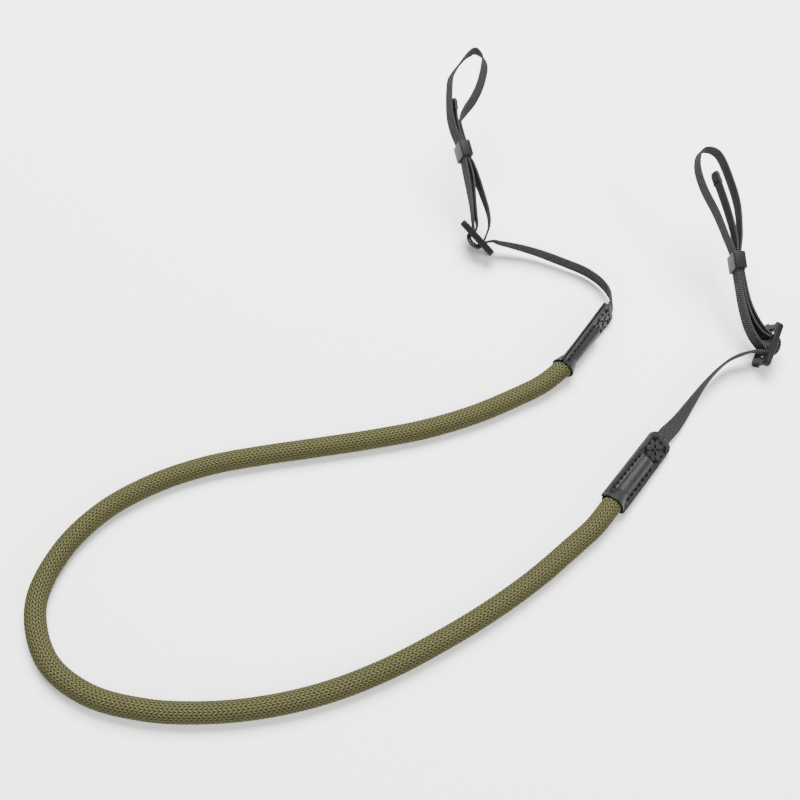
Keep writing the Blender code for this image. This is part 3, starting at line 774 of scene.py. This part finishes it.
def band_path(parts, step):
    """Centre points and width directions of one end's whole band, from the leather to the tail."""
    end, spine = parts["end"], parts["spine"]
    centre, long_axis, width_axis, back, _ = parts["slider"]
    legs, loop_length, half = end["legs_length"], end["loop_length"], end["loop_width"] / 2
    s, points, _, across = parts["leather"]
    held = s >= LEATHER_LENGTH - HELD_WEBBING_LENGTH
    path = list(zip(points[held][::ROUTE_THINNING], across[held][::ROUTE_THINNING]))
    free_run = slice(2, -1, ROUTE_THINNING)
    path += list(zip(parts["run"][1][free_run], parts["run"][3][free_run]))

    def plate(along, deep):
        return centre + along * long_axis + deep * back, width_axis

    def across_at(u, v, twist=0.0):
        return on_spine(spine, u, v, twist)

    def turn_round_bar(reach, rise):
        """Through one slot, round the back of the centre bar and out of the other slot."""
        face = SLIDER_THICKNESS / 2
        turn = [plate(-reach, -face), plate(-reach, 0.0)]
        for k in range(TURN_STEPS + 1):
            a = pi * k / TURN_STEPS
            turn.append(plate(-reach * cos(a), face + rise * sin(a)))
        return turn + [plate(reach, 0.0), plate(reach, -face)]

    rows = end["legs"]
    pitch = LAYER_PITCH * end["back"]
    enter, leave = legs - KEEPER_LENGTH / 2, legs + KEEPER_LENGTH / 2
    path += turn_round_bar(TURN_OUTER, BAND_BULGE + LAYER_PITCH)
    path += [across_at(f * legs, fixed * LAYER_PITCH) for f, _, _, fixed in rows]
    path += [across_at(enter, pitch), across_at(leave, pitch)]
    path += [across_at(legs + f * loop_length, v * half, twist) for f, v, twist in end["loop"]]
    path += [across_at(leave, -pitch), across_at(enter, -pitch)]
    path += [across_at(f * legs, free * LAYER_PITCH) for f, free, _, _ in reversed(rows)]
    path += turn_round_bar(TURN_INNER, BAND_BULGE)
    path += [across_at(f * legs, tail * LAYER_PITCH) for f, _, tail, _ in rows]
    path += [across_at(enter, 0.0), across_at(leave, 0.0)]
    path += [across_at(legs + f * loop_length, v * half) for f, v in end["tail"]]
    band = smooth_curve([np.concatenate(pair) for pair in path], step)
    travel = unit_rows(np.gradient(band[:, :3], axis=0))
    band[:, 3:] -= travel * np.sum(travel * band[:, 3:], axis=1)[:, None]
    return band


strap_ends = {name: strap_end(name) for name in ENDS}


def weave_height(along, across):
    """Height of the weave from 0 between two ribs to 1 on a rib's crown."""
    from_fold = np.abs(np.mod(across - RIB_COLUMN, 2 * RIB_COLUMN) - RIB_COLUMN)
    return 0.5 - 0.5 * np.cos(2 * pi * (along + RIB_SLANT * from_fold) / RIB_PITCH)


def hem_stitches(along, centre, normal, width):
    """Spans of the stitches on both faces of the folded tip."""
    row = int(np.searchsorted(along, along[-1] - HEM_STITCH_ROW))
    reach = width[row] * HEM_STITCH_LENGTH / 2
    spans = []
    for place in HEM_STITCH_PLACES:
        for up in (normal[row], -normal[row]):
            spot = centre[row] + width[row] * place + up * (WEBBING_THICKNESS + HEM_FOLD) / 2
            spans.append((spot - reach, spot + reach, up))
    return spans


def make_webbing(name, material):
    """One end's whole band, with the spans of the stitches in its hem."""
    step = RIB_PITCH / ROWS_PER_RIB
    path = band_path(strap_ends[name], step)
    points = path[:, :3]
    gone = distance_along(points)
    travel = np.gradient(points, gone, axis=0)
    normal = unit_rows(np.cross(travel, path[:, 3:]))
    width = unit_rows(np.cross(normal, travel))
    length = gone[-1]
    along = near_the_ends(length, step, BAND_EDGE_ROUND)
    centre, normal, width = [
        np.stack([np.interp(along, gone, rows[:, k]) for k in range(3)], axis=-1)
        for rows in (points, normal, width)]
    past = np.clip(along - (length - TIP_CORNER), 0.0, TIP_CORNER)
    half = WEBBING_WIDTH / 2 - TIP_CORNER + np.sqrt(TIP_CORNER ** 2 - past ** 2)
    share = near_the_ends(WEBBING_WIDTH, BAND_STEP_ACROSS, BAND_EDGE_ROUND) / WEBBING_WIDTH * 2 - 1
    across = half[:, None] * share[None, :]
    away = np.minimum(np.minimum(along, length - along)[:, None], half[:, None] - np.abs(across))
    folded = np.clip((along - (length - HEM_LENGTH)) / HEM_RISE, 0.0, 1.0)
    thick = (WEBBING_THICKNESS + HEM_FOLD * folded * folded * (3 - 2 * folded))[:, None] / 2
    bumps = RIB_DEPTH * (weave_height(along[:, None], across) - 0.5)
    reach = edge_fullness(away, BAND_EDGE_ROUND) * (thick + bumps)
    # At the very border both faces meet in one line
    reach[[0, -1], :] = 0.0
    reach[:, [0, -1]] = 0.0
    middle = centre[:, None] + width[:, None] * across[:, :, None]
    top = middle + normal[:, None] * reach[:, :, None]
    bottom = middle - normal[:, None] * reach[:, :, None]
    uvs = np.stack(np.broadcast_arrays(along[:, None], across), axis=-1)
    made = closed_sheet(f"{name}_band", top, bottom, uvs, material)
    return made, hem_stitches(along, centre, normal, width)


def woven_nylon():
    """Black nylon in a herringbone twill: dull yarns, with a painted highlight on their crowns and painted
    shade between them.
    """
    material, tree, shader = new_material("woven_nylon_webbing", Roughness=0.8, IOR=1.53,
                                          Specular_IOR_Level=0.03)
    uv = add_node(tree, "ShaderNodeUVMap", {"uv_map": "along"})
    split = add_node(tree, "ShaderNodeSeparateXYZ", inputs={"Vector": uv.outputs["UV"]})
    yarns = add_node(tree, "ShaderNodeTexNoise", {}, {"Scale": 1 / YARN_SIZE, "Detail": 2.0})

    # The same pattern as weave_height, with yarns that differ a little
    fold = add_node(tree, "ShaderNodeMath", {"operation": "PINGPONG"},
                    {0: split.outputs["Y"], 1: RIB_COLUMN})
    slanted = add_node(tree, "ShaderNodeMath", {"operation": "MULTIPLY_ADD"},
                       {0: fold.outputs[0], 1: RIB_SLANT, 2: split.outputs["X"]})
    turns = add_node(tree, "ShaderNodeMath", {"operation": "MULTIPLY"},
                     {0: slanted.outputs[0], 1: 2 * pi / RIB_PITCH})
    wave = add_node(tree, "ShaderNodeMath", {"operation": "COSINE"}, {0: turns.outputs[0]})
    height = add_node(tree, "ShaderNodeMath", {"operation": "MULTIPLY_ADD"},
                      {0: wave.outputs[0], 1: -0.5, 2: yarns.outputs["Fac"]})
    # The ramp paints a highlight on the ribs' crowns and shade between them, from the weave's height
    ramp = add_node(tree, "ShaderNodeValToRGB", {}, {"Fac": height.outputs[0]})
    ramp.color_ramp.elements[0].position = 0.3
    ramp.color_ramp.elements[0].color = linear("070707")
    ramp.color_ramp.elements[1].position = 0.95
    ramp.color_ramp.elements[1].color = linear("484848")
    tree.links.new(ramp.outputs["Color"], shader.inputs["Base Color"])
    bump = add_node(tree, "ShaderNodeBump", {},
                    {"Height": height.outputs[0], "Distance": RIB_DEPTH / 2, "Strength": 0.6})
    tree.links.new(bump.outputs["Normal"], shader.inputs["Normal"])
    return material


nylon = woven_nylon()
for name in strap_ends:
    band, hem_spans = make_webbing(name, nylon)
    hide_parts(f"{name}_webbing")
    stitch_threads(f"{name}_hem_stitches", hem_spans, thread)


# Sliders
# Three-bar sliders moulded in dark grey plastic with a fine satin texture.  Their rails stand a little
# past the end bars, and every edge is softly rounded.
SLOT_CORNER = 0.0008
SLIDER_NOTCH = 0.0011
SLIDER_RAIL_END = 0.0042
RAIL_END_CORNER = 0.0007
NOTCH_CORNER = 0.0004
EDGE_RINGS = 3
SHARP_ANGLE = radians(35)

# The satin's pits are a third of this on real sliders, too fine to show, so they are drawn coarser
SATIN_SIZE = 0.0003
SATIN_DEPTH = 0.00003

# Share of a corner's rounding that the handles of a cubic curve take to draw a quarter circle
ROUND_ARC = 0.5523


def rounded_outline(corners, segments=6):
    """Closed outline from rows of x, y and rounding, with each corner turned into a short arc."""
    places = [np.array(row[:2]) for row in corners]
    outline = []
    for k, corner in enumerate(places):
        rounding = corners[k][2]
        a = corner + unit(places[k - 1] - corner) * rounding
        d = corner + unit(places[(k + 1) % len(places)] - corner) * rounding
        b = a + (corner - a) * ROUND_ARC
        c = d + (corner - d) * ROUND_ARC
        for t in np.linspace(0, 1, segments + 1):
            s = 1 - t
            outline.append(a * s ** 3 + 3 * b * t * s ** 2 + 3 * c * t ** 2 * s + d * t ** 3)
    return outline


def rectangle(x0, x1, half_height, rounding):
    """Closed outline of a rectangle with rounded corners."""
    return rounded_outline([(x0, -half_height, rounding), (x1, -half_height, rounding),
                            (x1, half_height, rounding), (x0, half_height, rounding)])


def moulded_plate(name, outlines, half_thickness, edge, place, material):
    """A plate with rounded edges from one outline and the holes in it, put in its place."""
    curve = bpy.data.curves.new(name, "CURVE")
    curve.dimensions = "2D"
    curve.fill_mode = "BOTH"
    curve.extrude = half_thickness - edge
    curve.bevel_depth = edge
    curve.bevel_resolution = EDGE_RINGS
    curve.offset = -edge
    for outline in outlines:
        spline = curve.splines.new("POLY")
        spline.points.add(len(outline) - 1)
        for target, (x, y) in zip(spline.points, outline):
            target.co = (x, y, 0.0, 1.0)
        spline.use_cyclic_u = True
    drawn = put_in_scene(name + "_outline", curve)
    evaluated = drawn.evaluated_get(bpy.context.evaluated_depsgraph_get())
    mesh = bpy.data.meshes.new_from_object(evaluated)
    bpy.data.objects.remove(drawn)
    mesh.materials.clear()
    mesh.materials.append(material)
    mesh.transform(place)
    mesh.shade_smooth()
    mesh.set_sharp_from_angle(angle=SHARP_ANGLE)
    obj = put_in_scene(name, mesh)
    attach(obj, "root")
    return obj


def frame_matrix(origin, x_axis, y_axis, z_axis):
    """Matrix that moves a plate from the drawing's own axes to its place."""
    rows = np.eye(4)
    rows[:3, 0], rows[:3, 1], rows[:3, 2], rows[:3, 3] = x_axis, y_axis, z_axis, origin
    return Matrix(rows.tolist())


def satin_plastic():
    """Moulded acetal with a spark-eroded satin texture: dark grey, a broad soft highlight."""
    material, tree, shader = new_material("moulded_satin_acetal", IOR=1.48, Base_Color=linear("121213"),
                                          Specular_IOR_Level=0.13)
    place = add_node(tree, "ShaderNodeTexCoord")
    texture = add_node(tree, "ShaderNodeTexNoise", {},
                       {"Vector": place.outputs["Object"], "Scale": 1 / SATIN_SIZE, "Detail": 2.0})
    gloss = add_node(tree, "ShaderNodeMapRange", {},
                     {"Value": texture.outputs["Fac"], "To Min": 0.38, "To Max": 0.52})
    tree.links.new(gloss.outputs["Result"], shader.inputs["Roughness"])
    bump = add_node(tree, "ShaderNodeBump", {},
                    {"Height": texture.outputs["Fac"], "Distance": SATIN_DEPTH})
    tree.links.new(bump.outputs["Normal"], shader.inputs["Normal"])
    return material


plastic = satin_plastic()
end_x, side_y = SLIDER_LENGTH / 2, SLIDER_WIDTH / 2
notch_x, notch_y = end_x - SLIDER_NOTCH, side_y - SLIDER_RAIL_END
half_outline = [
    # x, y, rounding
    (end_x, -side_y, SLIDER_CORNER), (end_x, -notch_y, RAIL_END_CORNER),
    (notch_x, -notch_y, NOTCH_CORNER), (notch_x, notch_y, NOTCH_CORNER),
    (end_x, notch_y, RAIL_END_CORNER), (end_x, side_y, SLIDER_CORNER),
]
slider_outline = rounded_outline(half_outline + [(-x, -y, r) for x, y, r in half_outline])
slot_from, slot_to = SLIDER_CENTRE_BAR / 2, SLIDER_CENTRE_BAR / 2 + SLIDER_SLOT
slots = [rectangle(x0, x1, SLOT_WIDTH / 2, SLOT_CORNER)
         for x0, x1 in ((slot_from, slot_to), (-slot_to, -slot_from))]
for name, parts in strap_ends.items():
    centre, long_axis, _, back, _ = parts["slider"]
    place = frame_matrix(centre, long_axis, np.cross(back, long_axis), back)
    slider = moulded_plate(f"{name}_three_bar", [slider_outline] + slots, SLIDER_THICKNESS / 2,
                           SLIDER_EDGE, place, plastic)
    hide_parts(f"{name}_slider")


# Keepers
# Small rectangular sleeves of the same moulded plastic, which hold the band's three layers together.
KEEPER_WALL = 0.0011
KEEPER_CORNER = 0.0012
KEEPER_HOLE_CORNER = 0.0004
KEEPER_EDGE = 0.0003
KEEPER_HOLE_WIDTH = WEBBING_WIDTH + 3 * GAP
KEEPER_HOLE_THICKNESS = 3 * WEBBING_THICKNESS + 5 * GAP
sleeve_x = KEEPER_HOLE_WIDTH / 2 + KEEPER_WALL
sleeve_y = KEEPER_HOLE_THICKNESS / 2 + KEEPER_WALL
for name, parts in strap_ends.items():
    at = parts["end"]["legs_length"]
    _, width = on_spine(parts["spine"], at, 0.0)
    before, _ = on_spine(parts["spine"], at - KEEPER_LENGTH / 2, 0.0)
    after, _ = on_spine(parts["spine"], at + KEEPER_LENGTH / 2, 0.0)
    along = unit(after - before)
    width = unit(width - along * np.dot(along, width))
    place = frame_matrix((before + after) / 2, width, np.cross(along, width), along)
    sleeve = [rectangle(-sleeve_x, sleeve_x, sleeve_y, KEEPER_CORNER),
              rectangle(-KEEPER_HOLE_WIDTH / 2, KEEPER_HOLE_WIDTH / 2, KEEPER_HOLE_THICKNESS / 2,
                        KEEPER_HOLE_CORNER)]
    keeper = moulded_plate(f"{name}_sleeve", sleeve, KEEPER_LENGTH / 2, KEEPER_EDGE, place, plastic)
    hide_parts(f"{name}_keeper")


# Floor and light
# A pale table top, a wide soft light above and behind, a weak one low at the front left, and one at
# the front right that brings out the near leather's stitches.
FLOOR_HALF = 8.0
FLOOR_BELOW = 0.0002
WORLD_STRENGTH = 0.4

floor_mesh = bpy.data.meshes.new("floor")
corners = [(x * FLOOR_HALF, y * FLOOR_HALF, 0) for x, y in ((-1, -1), (1, -1), (1, 1), (-1, 1))]
floor_mesh.from_pydata(corners, [], [(0, 1, 2, 3)])
floor = put_in_scene("floor", floor_mesh)
paper, _, _ = new_material("white_paper", Base_Color=linear("fbfbfa"), Roughness=0.9)
floor_mesh.materials.append(paper)
floor.location.z = -FLOOR_BELOW

LIGHTS = [
    # name, place, size, watts
    ("overhead", (0.05, 0.72, 1.5), 1.1, 122.0),
    ("front_left", (-0.95, -1.2, 0.65), 1.1, 15.0),
    ("front_right", (1.3, -0.95, 1.15), 0.8, 34.0),
]
for name, place, size, watts in LIGHTS:
    lamp = bpy.data.lights.new(name, "AREA")
    lamp.size = size
    lamp.energy = watts
    light = put_in_scene(name, lamp)
    light.location = place
    light.rotation_euler = (-Vector(place)).to_track_quat("-Z", "Y").to_euler()

world = bpy.data.worlds.new("light_tent")
world.use_nodes = True
world.node_tree.nodes["Background"].inputs["Color"].default_value = (1, 1, 1, 1)
world.node_tree.nodes["Background"].inputs["Strength"].default_value = WORLD_STRENGTH
bpy.context.scene.world = world
